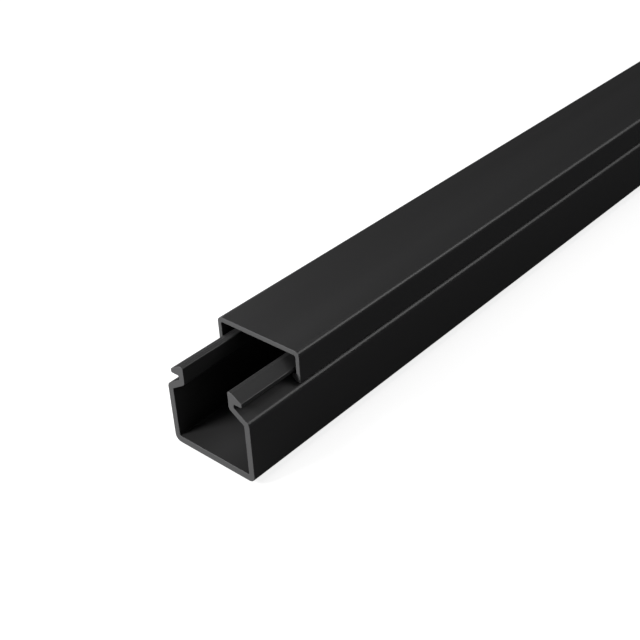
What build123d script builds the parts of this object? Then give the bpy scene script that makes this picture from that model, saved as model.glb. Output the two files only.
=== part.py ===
import os
from math import cos, radians, tan

from build123d import *

# Self-adhesive mini trunking, in millimetres.
# Both sections run along Y. X is across the trunking and Z is up, away from the wall it is
# stuck to. The origin is the centre of the back, on the outer face of the release liner.

# Lengths along the trunking
length = 1000.0  # stock length, the same for the base and the lid
lid_setback = 10.5  # how far the lid stands back from the near end of the base
tape_end_gap = 2.0  # bare back at each end of the foam tape

# Base: one wall thickness bent from the sides over the shoulders into two upright legs
width = 16.0
wall = 1.0
floor_thickness = 1.15
side_height = 10.2  # underside of the floor to the outer corner of the shoulder
shoulder_angle = 32.6  # rise of the shoulder towards the legs, in degrees
bottom_radius = 1.1
shoulder_radius = 1.0
bend_radius = 0.9  # inside the bend from the shoulder into the leg
inside_radius = 0.25  # floor corners, in the channel

# Hook on the outside of each leg
hook_reach = 1.55  # out from the leg
hook_height = 1.7  # from its underside to the top of the leg
hook_nose = 0.65  # upright face of the tip
hook_land = 0.8  # flat on top of the leg
notch_height = 0.65  # leg left bare between the shoulder and the hook
hook_radius = 0.25

# Lid: a shallow cap with a catch along the lower edge of each skirt
lid_wall = 0.78
skirt_wall = 0.68
lid_inset = 0.1  # skirts stand in from the sides of the base
lid_radius = 0.9
lid_inside_radius = 0.35
catch_radius = 0.2
catch_bite = 0.45  # how far each catch reaches in under its hook

# Clearances between the lid and the base
catch_gap = 0.25  # catch to shoulder, and catch to hook
skirt_gap = 0.32  # skirt to the tip of the hook
headroom = 1.12  # top of the legs to the inside of the lid

# Adhesive back
foam_thickness = 0.8
liner_thickness = 0.1
tape_side_gap = 2.0  # bare back on each side of the foam tape

# Places worked out from the sizes, across and up, measured from the middle of the back
half_width = width / 2
wall_inner_x = half_width - wall
skirt_x = half_width - lid_inset
skirt_inner_x = skirt_x - skirt_wall
hook_tip_x = skirt_inner_x - skirt_gap
leg_x = hook_tip_x - hook_reach
leg_inner_x = leg_x - wall
catch_x = hook_tip_x - catch_bite

slope = tan(radians(shoulder_angle))
upright_wall = wall / cos(radians(shoulder_angle))
upright_gap = catch_gap / cos(radians(shoulder_angle))


def shoulder_z(x):
    """Height of the shoulder's top face at x from the middle."""
    return side_height + (half_width - x) * slope


hook_z = shoulder_z(leg_x) + notch_height
leg_top_z = hook_z + hook_height
lid_inner_z = leg_top_z + headroom
lid_top_z = lid_inner_z + lid_wall

base_z = liner_thickness + foam_thickness
tape_width = width - 2 * tape_side_gap
tape_length = length - 2 * tape_end_gap


def section_plane(far_end):
    """Upright plane at a far end, looking back along the trunking, on the underside of the base."""
    return Plane(origin=(0, far_end, base_z), x_dir=(1, 0, 0), z_dir=(0, -1, 0))


# Base channel, an extrusion sawn square at both ends
with BuildPart() as trunking_base:
    with BuildSketch(section_plane(length / 2)):
        with BuildLine():
            FilletPolyline(
                (0, 0),
                (half_width, 0),
                (half_width, side_height),
                (leg_x, shoulder_z(leg_x)),
                (leg_x, hook_z),
                (hook_tip_x, hook_z),
                (hook_tip_x, hook_z + hook_nose),
                (leg_inner_x + hook_land, leg_top_z),
                (leg_inner_x, leg_top_z),
                (leg_inner_x, shoulder_z(leg_inner_x) - upright_wall),
                (wall_inner_x, shoulder_z(wall_inner_x) - upright_wall),
                (wall_inner_x, floor_thickness),
                (0, floor_thickness),
                radius=[
                    bottom_radius,
                    shoulder_radius,
                    hook_radius,
                    hook_radius,
                    hook_radius,
                    hook_radius,
                    0,
                    hook_radius,
                    bend_radius,
                    inside_radius,
                    inside_radius,
                ],
            )
            mirror(about=Plane.YZ)
        make_face()
    extrude(amount=length)

# Lid, an extrusion of its own, slid back along the base
with BuildPart() as lid:
    with BuildSketch(section_plane(length / 2 + lid_setback)):
        with BuildLine():
            FilletPolyline(
                (0, lid_top_z),
                (skirt_x, lid_top_z),
                (skirt_x, shoulder_z(skirt_inner_x) + upright_gap),
                (skirt_inner_x, shoulder_z(skirt_inner_x) + upright_gap),
                (catch_x, shoulder_z(catch_x) + upright_gap),
                (catch_x, hook_z - catch_gap),
                (skirt_inner_x, hook_z - catch_gap),
                (skirt_inner_x, lid_inner_z),
                (0, lid_inner_z),
                radius=[
                    lid_radius,
                    catch_radius,
                    0,
                    catch_radius,
                    catch_radius,
                    catch_radius,
                    lid_inside_radius,
                ],
            )
            mirror(about=Plane.YZ)
        make_face()
    extrude(amount=length)

# Double-sided foam tape down the middle of the back
with BuildPart() as foam_tape:
    with BuildSketch(Plane.XY.offset(liner_thickness)):
        Rectangle(tape_width, tape_length)
    extrude(amount=foam_thickness)

# Release liner, peeled off the tape before the trunking is stuck down
with BuildPart() as release_liner:
    with BuildSketch(Plane.XY):
        Rectangle(tape_width, tape_length)
    extrude(amount=liner_thickness)

trunking_base.part.label = "trunking_base"
lid.part.label = "lid"
foam_tape.part.label = "foam_tape"
release_liner.part.label = "release_liner"

os.makedirs("parts", exist_ok=True)
export_step(trunking_base.part, "parts/trunking_base.step")
export_step(lid.part, "parts/lid.step")
export_step(foam_tape.part, "parts/foam_tape.step")
export_step(release_liner.part, "parts/release_liner.step")
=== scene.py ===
from math import cos, pi, radians, sin, tan

import bpy
import numpy as np
from mathutils import Matrix, Vector


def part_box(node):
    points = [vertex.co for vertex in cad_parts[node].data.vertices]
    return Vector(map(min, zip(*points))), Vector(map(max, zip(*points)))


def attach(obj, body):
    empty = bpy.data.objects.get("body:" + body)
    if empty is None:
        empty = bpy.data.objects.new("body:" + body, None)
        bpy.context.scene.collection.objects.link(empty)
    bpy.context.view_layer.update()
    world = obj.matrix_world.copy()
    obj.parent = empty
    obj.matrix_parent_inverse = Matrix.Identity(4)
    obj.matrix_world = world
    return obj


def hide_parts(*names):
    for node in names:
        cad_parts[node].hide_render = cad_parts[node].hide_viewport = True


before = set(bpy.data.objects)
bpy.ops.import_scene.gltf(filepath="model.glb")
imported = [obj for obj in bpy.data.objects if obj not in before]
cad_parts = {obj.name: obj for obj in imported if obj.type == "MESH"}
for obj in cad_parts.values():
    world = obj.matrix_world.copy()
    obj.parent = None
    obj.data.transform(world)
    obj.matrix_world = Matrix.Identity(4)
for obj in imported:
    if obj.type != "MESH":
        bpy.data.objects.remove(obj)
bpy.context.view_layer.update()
mm = 0.001

# Trunking base. One length of rigid black PVC: a floor, two sides, shoulders that slope in and
# two upright legs with a hook along the outside of each. It is drawn from a die, cooled in a
# water bath and sawn square, so it has faint lines along it and paler, torn-looking ends.
base_low, base_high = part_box("trunking_base")
half_width = base_high.x
wall = 1.0 * mm
floor_thickness = 1.15 * mm
side_height = 10.2 * mm
shoulder_slope = tan(radians(32.6))
skirt_room = 1.1 * mm
hook_reach = 1.55 * mm
hook_nose = 0.65 * mm
hook_land = 0.8 * mm
notch_height = 0.65 * mm
hook_tip_x = half_width - skirt_room
leg_x = hook_tip_x - hook_reach
leg_inner_x = leg_x - wall
wall_inner_x = half_width - wall
upright_wall = wall * np.hypot(1, shoulder_slope)

bottom_radius = 1.1 * mm
shoulder_radius = 1.0 * mm
shoulder_inner_radius = 0.9 * mm
base_small_radius = 0.25 * mm
square_corner = 0.0

flat_beside_arc = 0.04 * mm
steps_per_arc = 8
least_step = 0.001 * mm
sawn_edge = 0.035 * mm
ring_spacing = 20 * mm
sharp_angle = radians(30)


def shoulder_z(x):
    """Height of the shoulder's top face at x: it rises from the side's top edge to the leg."""
    return base_low.z + side_height + (half_width - x) * shoulder_slope


def rounded_outline(corners):
    """
    Half a section, from rows of x, z and radius. The arc at a corner is centred on the corner's
    bisector, a radius away from both runs, and swings evenly from one run to the other. A short
    flat beside each arc keeps the arc's shading off the runs. A radius of 0 stays a sharp corner.
    """
    places = np.array(corners)[:, :2]
    radius = np.array(corners)[1:-1, 2:]
    middle = places[1:-1]
    back = places[:-2] - middle
    ahead = places[2:] - middle
    back /= np.linalg.norm(back, axis=1, keepdims=True)
    ahead /= np.linalg.norm(ahead, axis=1, keepdims=True)
    half_angle = np.arccos((back * ahead).sum(1, keepdims=True)) / 2
    bisector = (back + ahead) / np.linalg.norm(back + ahead, axis=1, keepdims=True)
    centre = middle + bisector * (radius / np.sin(half_angle))
    tangent = radius / np.tan(half_angle)
    start = middle + back * tangent - centre
    end = middle + ahead * tangent - centre
    swing = pi - 2 * half_angle
    share = np.linspace(0, 1, steps_per_arc + 1)[:, None, None]
    from_start = np.sin((1 - share) * swing) / np.sin(swing)
    from_end = np.sin(share * swing) / np.sin(swing)
    arcs = centre + from_start * start + from_end * end
    before = arcs[:1] + back * flat_beside_arc
    after = arcs[-1:] + ahead * flat_beside_arc
    points = np.concatenate([before, arcs, after]).transpose(1, 0, 2).reshape(-1, 2)
    points = np.concatenate([places[:1], points, places[-1:]])
    apart = np.linalg.norm(np.diff(points, axis=0), axis=1) > least_step
    return points[np.concatenate([[True], apart])]


def both_sides(half):
    """The whole section: the right half, then its mirror image back to where it began."""
    return np.concatenate([half, half[-2:0:-1] * (-1, 1)])


def drawn_in(outline, depth):
    """Each point of a closed outline moved to its inner side, a depth away from both its runs."""
    run = np.roll(outline, -1, axis=0) - outline
    run /= np.linalg.norm(run, axis=1, keepdims=True)
    inward = np.stack([-run[:, 1], run[:, 0]], axis=1)
    previous = np.roll(inward, 1, axis=0)
    miter = (inward + previous) / (1 + (inward * previous).sum(1, keepdims=True))
    return outline + miter * depth


def skin_over_rings(name, across, stations, up, materials):
    """
    A closed piece along Y. Row i of across and up is the ring of points at station i. Four-sided
    faces join each ring to the next, and one face closes each end. The end faces come last.
    """
    along = np.broadcast_to(stations[:, None], across.shape)
    points = np.stack([across, along, up], axis=-1)
    index = np.arange(across.size).reshape(across.shape)
    beside = np.roll(index, -1, axis=1)
    quads = np.stack([index[:-1], index[1:], beside[1:], beside[:-1]], axis=-1).reshape(-1, 4)
    faces = quads.tolist() + [index[0].tolist(), index[-1, ::-1].tolist()]
    mesh = bpy.data.meshes.new(name)
    mesh.from_pydata(points.reshape(-1, 3), [], faces)
    for material in materials:
        mesh.materials.append(material)
    mesh.polygons.foreach_set("use_smooth", np.ones(len(faces), dtype=bool))
    mesh.set_sharp_from_angle(angle=sharp_angle)
    piece = bpy.data.objects.new(name, mesh)
    bpy.context.scene.collection.objects.link(piece)
    return piece


def sawn_length(name, outline, near, far, materials):
    """
    An outline carried along Y from near to far, through rings a small step apart at both ends
    and evenly spaced between. The end rings are drawn in, which takes the sharp edge off the cut.
    The second material is the cut face and its edge.
    """
    count = int((far - near) / ring_spacing)
    inner = np.linspace(near + sawn_edge, far - sawn_edge, count)
    stations = np.concatenate([[near], inner, [far]])
    rings = np.repeat(outline[None], len(stations), axis=0)
    rings[[0, -1]] = drawn_in(outline, sawn_edge)
    piece = skin_over_rings(name, rings[..., 0], stations, rings[..., 1], materials)
    end_faces = 2
    cut = np.zeros(len(piece.data.polygons), dtype=np.int32)
    cut[:len(outline)] = 1
    cut[-len(outline) - end_faces:] = 1
    piece.data.polygons.foreach_set("material_index", cut)
    return piece


def new_material(name):
    """A material with one surface shader, returned with its node tree and that shader."""
    material = bpy.data.materials.new(name)
    material.use_nodes = True
    shader = material.node_tree.nodes["Principled BSDF"]
    return material, material.node_tree, shader


def lumps(tree, size, detail=2.0, turn=0.0):
    """Cloudy noise, 0 to 1, in lumps of a size in metres along X, Y and Z, turned about Y."""
    place = tree.nodes.new("ShaderNodeTexCoord")
    mapping = tree.nodes.new("ShaderNodeMapping")
    mapping.vector_type = "TEXTURE"
    mapping.inputs["Scale"].default_value = size
    mapping.inputs["Rotation"].default_value = (0, turn, 0)
    noise = tree.nodes.new("ShaderNodeTexNoise")
    noise.inputs["Scale"].default_value = 1.0
    noise.inputs["Detail"].default_value = detail
    tree.links.new(place.outputs["Object"], mapping.inputs["Vector"])
    tree.links.new(mapping.outputs["Vector"], noise.inputs["Vector"])
    return noise.outputs["Fac"]


def spread(tree, value, low, high):
    """The middle half of a 0 to 1 value stretched over the range from low to high."""
    node = tree.nodes.new("ShaderNodeMapRange")
    node.inputs["From Min"].default_value = 0.25
    node.inputs["From Max"].default_value = 0.75
    node.inputs["To Min"].default_value = low
    node.inputs["To Max"].default_value = high
    tree.links.new(value, node.inputs["Value"])
    return node.outputs["Result"]


def two_tones(tree, factor, first, second):
    """A colour that goes from the first to the second as the factor goes from 0 to 1."""
    node = tree.nodes.new("ShaderNodeMix")
    node.data_type = "RGBA"
    node.inputs["A"].default_value = (*first, 1)
    node.inputs["B"].default_value = (*second, 1)
    tree.links.new(factor, node.inputs["Factor"])
    return node.outputs["Result"]


def blended(tree, value, first, second):
    """Two colours mixed by the middle half of a 0 to 1 value."""
    return two_tones(tree, spread(tree, value, low=0, high=1), first, second)


def relief(tree, value, depth, under=None):
    """The normal of a surface whose height follows a value, up to a depth, over another relief."""
    node = tree.nodes.new("ShaderNodeBump")
    node.inputs["Distance"].default_value = depth
    node.inputs["Strength"].default_value = 1.0
    tree.links.new(value, node.inputs["Height"])
    if under is not None:
        tree.links.new(under, node.inputs["Normal"])
    return node.outputs["Normal"]


def extruded_pvc():
    """Black satin skin: fine die lines, a slight orange peel, and slow changes of gloss."""
    material, tree, shader = new_material("black_pvc_skin")
    deep_black = (0.0268, 0.0267, 0.0271)
    soft_black = (0.0294, 0.0293, 0.0297)
    slow = lumps(tree, size=(5 * mm, 160 * mm, 5 * mm))
    die_lines = lumps(tree, size=(0.16 * mm, 70 * mm, 0.16 * mm), detail=3)
    peel = lumps(tree, size=(0.8 * mm, 1.6 * mm, 0.8 * mm))
    normal = relief(tree, peel, depth=0.0012 * mm)
    normal = relief(tree, die_lines, depth=0.0006 * mm, under=normal)
    tree.links.new(blended(tree, slow, deep_black, soft_black), shader.inputs["Base Color"])
    tree.links.new(spread(tree, slow, low=0.29, high=0.35), shader.inputs["Roughness"])
    tree.links.new(normal, shader.inputs["Normal"])
    return material


def sawn_pvc():
    """The cut face: paler and matt, with saw marks across it and torn specks."""
    material, tree, shader = new_material("black_pvc_sawn")
    sawn_grey = (0.112, 0.112, 0.113)
    torn_grey = (0.132, 0.132, 0.133)
    saw_marks = lumps(tree, size=(4 * mm, 1 * mm, 0.09 * mm), turn=radians(24))
    specks = lumps(tree, size=(0.07 * mm, 0.07 * mm, 0.07 * mm))
    normal = relief(tree, specks, depth=0.006 * mm)
    normal = relief(tree, saw_marks, depth=0.004 * mm, under=normal)
    tree.links.new(blended(tree, specks, sawn_grey, torn_grey), shader.inputs["Base Color"])
    tree.links.new(spread(tree, saw_marks, low=0.6, high=0.75), shader.inputs["Roughness"])
    tree.links.new(normal, shader.inputs["Normal"])
    return material


black_pvc = [extruded_pvc(), sawn_pvc()]
hook_z = shoulder_z(leg_x) + notch_height
base_section = both_sides(rounded_outline([
    (0, base_low.z, square_corner),
    (half_width, base_low.z, bottom_radius),
    (half_width, shoulder_z(half_width), shoulder_radius),
    (leg_x, shoulder_z(leg_x), base_small_radius),
    (leg_x, hook_z, base_small_radius),
    (hook_tip_x, hook_z, base_small_radius),
    (hook_tip_x, hook_z + hook_nose, base_small_radius),
    (leg_inner_x + hook_land, base_high.z, square_corner),
    (leg_inner_x, base_high.z, base_small_radius),
    (leg_inner_x, shoulder_z(leg_inner_x) - upright_wall, shoulder_inner_radius),
    (wall_inner_x, shoulder_z(wall_inner_x) - upright_wall, base_small_radius),
    (wall_inner_x, base_low.z + floor_thickness, base_small_radius),
    (0, base_low.z + floor_thickness, square_corner),
]))
base_channel = sawn_length("base_channel", base_section, base_low.y, base_high.y, black_pvc)
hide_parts("trunking_base")
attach(base_channel, "base")

# Lid. A shallow cap of the same PVC, drawn from its own die and sawn to the same length. A catch
# along the lower edge of each skirt snaps in under a hook of the base, and the lid can slide.
lid_low, lid_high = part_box("lid")
lid_wall = 0.78 * mm
skirt_wall = 0.68 * mm
catch_bite = 0.45 * mm
catch_gap = 0.25 * mm
lid_outer_radius = 0.9 * mm
lid_inner_radius = 0.35 * mm
lid_small_radius = 0.2 * mm
skirt_inner_x = lid_high.x - skirt_wall
catch_x = hook_tip_x - catch_bite
upright_catch_gap = catch_gap * np.hypot(1, shoulder_slope)
lid_inner_z = lid_high.z - lid_wall

lid_section = both_sides(rounded_outline([
    (0, lid_inner_z, square_corner),
    (skirt_inner_x, lid_inner_z, lid_inner_radius),
    (skirt_inner_x, hook_z - catch_gap, lid_small_radius),
    (catch_x, hook_z - catch_gap, lid_small_radius),
    (catch_x, shoulder_z(catch_x) + upright_catch_gap, lid_small_radius),
    (skirt_inner_x, lid_low.z, square_corner),
    (lid_high.x, lid_low.z, lid_small_radius),
    (lid_high.x, lid_high.z, lid_outer_radius),
    (0, lid_high.z, square_corner),
]))
clip_on_lid = sawn_length("clip_on_lid", lid_section, lid_low.y, lid_high.y, black_pvc)
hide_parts("lid")
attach(clip_on_lid, "lid")

# Foam tape. White closed-cell foam with adhesive on both faces, slit from a wide roll and rolled
# on to the back of the base. Its slit sides are a little hollow and not quite straight.
tape_low, tape_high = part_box("foam_tape")
side_hollow = 0.07 * mm
side_wander = 0.05 * mm
wander_lengths = (83 * mm, 31 * mm)
strip_spacing = 4 * mm
cell_size = 0.22 * mm
cell_depth = 0.03 * mm


def slit_strip(name, low, high, hollow, levels, material):
    """
    A strip along Y between two corners. Its section has rows of points up both sides. Each side
    stands in by the hollow times a parabola of the height, and by the wander times the mean of
    two sine waves along the strip, brought into the range 0 to 1.
    """
    stations = np.linspace(low.y, high.y, int((high.y - low.y) / strip_spacing))
    height = np.linspace(0, 1, levels)
    waves = [np.sin(stations * 2 * pi / length + length / mm) for length in wander_lengths]
    wander = side_wander * (1 + np.mean(waves, axis=0)) / 2
    dip = hollow * (1 - (2 * height - 1) ** 2)
    right_x = high.x - dip[None, :] - wander[:, None]
    left_x = low.x + dip[None, ::-1] + wander[::-1, None]
    across = np.concatenate([right_x, left_x], axis=1)
    up = low.z + (high.z - low.z) * height
    up = np.broadcast_to(np.concatenate([up, up[::-1]]), across.shape)
    return skin_over_rings(name, across, stations, up, [material])


def closed_cell_foam():
    """Matt white foam whose cut sides show its cells as small pits, with painted shade darkening
    the middle of each pit.
    """
    material, tree, shader = new_material("white_foam")
    # Painted shade: the middle of each cell pit is painted darker than its rim.
    shaded_pit_white = (0.70, 0.70, 0.68)
    rim_white = (0.80, 0.80, 0.78)
    place = tree.nodes.new("ShaderNodeTexCoord")
    cells = tree.nodes.new("ShaderNodeTexVoronoi")
    cells.inputs["Scale"].default_value = 1 / cell_size
    tree.links.new(place.outputs["Object"], cells.inputs["Vector"])
    from_middle = cells.outputs["Distance"]
    tree.links.new(blended(tree, from_middle, shaded_pit_white, rim_white), shader.inputs["Base Color"])
    tree.links.new(relief(tree, from_middle, cell_depth), shader.inputs["Normal"])
    shader.inputs["Roughness"].default_value = 0.9
    return material


mounting_foam = slit_strip("mounting_foam", tape_low, tape_high, hollow=side_hollow, levels=7,
                           material=closed_cell_foam())
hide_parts("foam_tape")
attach(mounting_foam, "base")

# Release liner. Brown glassine paper with a silicone coat, as wide as the tape. It covers the
# adhesive until the trunking is stuck down, and its fibres run along the roll.
liner_low, liner_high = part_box("release_liner")


def glassine():
    """Smooth brown paper: fibres along the strip, a cloudy body and a thin silicone gloss."""
    material, tree, shader = new_material("liner_paper")
    dark_brown = (0.66, 0.55, 0.34)
    light_brown = (0.77, 0.68, 0.46)
    fibres = lumps(tree, size=(0.12 * mm, 2.2 * mm, 0.12 * mm), detail=4)
    clouds = lumps(tree, size=(3 * mm, 5 * mm, 3 * mm))
    tree.links.new(blended(tree, clouds, dark_brown, light_brown), shader.inputs["Base Color"])
    tree.links.new(spread(tree, fibres, low=0.35, high=0.5), shader.inputs["Roughness"])
    tree.links.new(relief(tree, fibres, depth=0.004 * mm), shader.inputs["Normal"])
    shader.inputs["Coat Weight"].default_value = 0.25
    shader.inputs["Coat Roughness"].default_value = 0.25
    return material


paper_liner = slit_strip("paper_liner", liner_low, liner_high, hollow=0.0, levels=2,
                         material=glassine())
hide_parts("release_liner")
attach(paper_liner, "base")

# Floor and surroundings. The trunking lies on a white sweep that runs out to a white distance, and
# the camera sees both white. Other rays meet a dim studio, or the satin black would haze over: off
# a glossy face with a small share of the white, and off a matt face with a lighter floor.
floor_reach = 30.0
floor_drop = 0.02 * mm
glossy_share = 0.01
floor_glow = 0.82
floor_paper = (0.40, 0.40, 0.40)
studio_floor = (0.05, 0.05, 0.052)
bounce_floor = (0.18, 0.18, 0.184)
studio_low = (0.002, 0.002, 0.002)
studio_high = (0.006, 0.006, 0.006)
low_until = radians(10)
high_from = radians(65)


def sees_white(tree):
    """1 for rays from the camera or through glass, and the small share for rays off a gloss."""
    path = tree.nodes.new("ShaderNodeLightPath")
    direct = tree.nodes.new("ShaderNodeMath")
    direct.operation = "MAXIMUM"
    tree.links.new(path.outputs["Is Camera Ray"], direct.inputs[0])
    tree.links.new(path.outputs["Is Transmission Ray"], direct.inputs[1])
    total = tree.nodes.new("ShaderNodeMath")
    total.operation = "MULTIPLY_ADD"
    total.inputs[1].default_value = glossy_share
    tree.links.new(path.outputs["Is Glossy Ray"], total.inputs[0])
    tree.links.new(direct.outputs["Value"], total.inputs[2])
    return total.outputs["Value"]


def mixed_shaders(tree, factor, first, second):
    """The output of a shader mixed from two others by a factor."""
    mix = tree.nodes.new("ShaderNodeMixShader")
    tree.links.new(factor, mix.inputs["Fac"])
    tree.links.new(first, mix.inputs[1])
    tree.links.new(second, mix.inputs[2])
    return mix.outputs["Shader"]


def white_sweep():
    """Glowing white paper for the camera, over white where it is lit, so the shadow is faint."""
    material = bpy.data.materials.new("white_sweep")
    material.use_nodes = True
    tree = material.node_tree
    tree.nodes.clear()
    glow = tree.nodes.new("ShaderNodeEmission")
    glow.inputs["Strength"].default_value = floor_glow
    paper = tree.nodes.new("ShaderNodeBsdfDiffuse")
    paper.inputs["Color"].default_value = (*floor_paper, 1)
    lit = tree.nodes.new("ShaderNodeAddShader")
    tree.links.new(glow.outputs["Emission"], lit.inputs[0])
    tree.links.new(paper.outputs["BSDF"], lit.inputs[1])
    path = tree.nodes.new("ShaderNodeLightPath")
    grey = two_tones(tree, path.outputs["Is Diffuse Ray"], studio_floor, bounce_floor)
    dim = tree.nodes.new("ShaderNodeBsdfDiffuse")
    tree.links.new(grey, dim.inputs["Color"])
    surface = mixed_shaders(tree, sees_white(tree), dim.outputs["BSDF"], lit.outputs["Shader"])
    output = tree.nodes.new("ShaderNodeOutputMaterial")
    tree.links.new(surface, output.inputs["Surface"])
    return material


def studio_world():
    """White distance for the camera. For the rest, a dim room that brightens towards the top."""
    world = bpy.data.worlds.new("studio")
    world.use_nodes = True
    tree = world.node_tree
    tree.nodes.clear()
    place = tree.nodes.new("ShaderNodeTexCoord")
    split = tree.nodes.new("ShaderNodeSeparateXYZ")
    tree.links.new(place.outputs["Generated"], split.inputs["Vector"])
    climb = tree.nodes.new("ShaderNodeMapRange")
    climb.interpolation_type = "SMOOTHSTEP"
    climb.inputs["From Min"].default_value = sin(low_until)
    climb.inputs["From Max"].default_value = sin(high_from)
    tree.links.new(split.outputs["Z"], climb.inputs["Value"])
    tone = two_tones(tree, climb.outputs["Result"], studio_low, studio_high)
    room = tree.nodes.new("ShaderNodeBackground")
    tree.links.new(tone, room.inputs["Color"])
    white = tree.nodes.new("ShaderNodeBackground")
    white.inputs["Color"].default_value = (1, 1, 1, 1)
    surface = mixed_shaders(tree, sees_white(tree), room.outputs["Background"],
                            white.outputs["Background"])
    output = tree.nodes.new("ShaderNodeOutputWorld")
    tree.links.new(surface, output.inputs["Surface"])
    return world


floor_corners = [
    (-floor_reach, -floor_reach, -floor_drop),
    (floor_reach, -floor_reach, -floor_drop),
    (floor_reach, floor_reach, -floor_drop),
    (-floor_reach, floor_reach, -floor_drop),
]
sweep_mesh = bpy.data.meshes.new("floor")
sweep_mesh.from_pydata(floor_corners, [], [(0, 1, 2, 3)])
sweep_mesh.materials.append(white_sweep())
sweep = bpy.data.objects.new("floor", sweep_mesh)
bpy.context.scene.collection.objects.link(sweep)
bpy.context.scene.world = studio_world()

# Lamps. Broad soft lamps far off light the whole metre evenly. One more stands close to the
# near end, so that the cut section and the channel behind it are the brightest part.
near_end = Vector((0, base_low.y, lid_high.z / 2))
far_away = 2.0


def direction(azimuth, elevation):
    """The way to a lamp: azimuth turns from the near end to +X, elevation is up from level."""
    turned = radians(azimuth)
    raised = radians(elevation)
    return Vector((sin(turned) * cos(raised), -cos(turned) * cos(raised), sin(raised)))


def place_lamp(name, data, towards, distance):
    """A lamp at a distance from the near end, facing it."""
    lamp = bpy.data.objects.new(name, data)
    lamp.location = near_end + towards * distance
    lamp.rotation_mode = "QUATERNION"
    lamp.rotation_quaternion = towards.to_track_quat("Z", "Y")
    bpy.context.scene.collection.objects.link(lamp)


def far_lamp(name, azimuth, elevation, width, level):
    """
    A lamp so far off that its light is even. Angles are in degrees, and the width is how wide the
    lamp looks. A white card square to it looks as bright as level, because the card sends back
    a share of 1 / pi of the light in each direction.
    """
    data = bpy.data.lights.new(name, "SUN")
    data.energy = pi * level
    data.angle = radians(width)
    place_lamp(name, data, direction(azimuth, elevation), far_away)


def near_lamp(name, azimuth, elevation, width, level, distance):
    """
    A round lamp at a distance, with the angles, the width and the level of a far lamp as they are
    at the near end. Its power is the level times the square of the distance times pi squared.
    """
    data = bpy.data.lights.new(name, "AREA")
    data.shape = "DISK"
    data.size = 2 * distance * tan(radians(width) / 2)
    data.energy = pi ** 2 * distance ** 2 * level
    place_lamp(name, data, direction(azimuth, elevation), distance)


near_lamp("key_softbox", azimuth=-25, elevation=36, width=20, level=1.08, distance=0.3)
far_lamp("overhead_softbox", azimuth=180, elevation=82, width=36, level=0.325)
far_lamp("left_softbox", azimuth=-110, elevation=22, width=30, level=0.11)
far_lamp("right_fill", azimuth=90, elevation=6, width=20, level=0.05)
far_lamp("back_softbox", azimuth=134, elevation=33, width=26, level=0.13)
far_lamp("rim_softbox", azimuth=156, elevation=22, width=30, level=0.055)

# Camera. It stands low at the right of the near end and looks along the trunking.
camera_place = Vector((91.2, -575.7, 99.1)) * mm
camera_heading = radians(42.503)
camera_dip = radians(32.696)
camera_roll = radians(-3.138)
image_pixels = 640
focal_pixels = 1066.65

camera_data = bpy.data.cameras.new("camera")
camera_data.sensor_width = 36.0
camera_data.lens = camera_data.sensor_width * focal_pixels / image_pixels
camera_data.clip_start = 10 * mm
camera_data.clip_end = 100.0
camera = bpy.data.objects.new("camera", camera_data)
camera.matrix_world = (
    Matrix.Translation(camera_place)
    @ Matrix.Rotation(camera_heading, 4, "Z")
    @ Matrix.Rotation(pi / 2 - camera_dip, 4, "X")
    @ Matrix.Rotation(camera_roll, 4, "Z")
)
bpy.context.scene.collection.objects.link(camera)
bpy.context.scene.camera = camera
bpy.context.scene.view_settings.view_transform = "Standard"
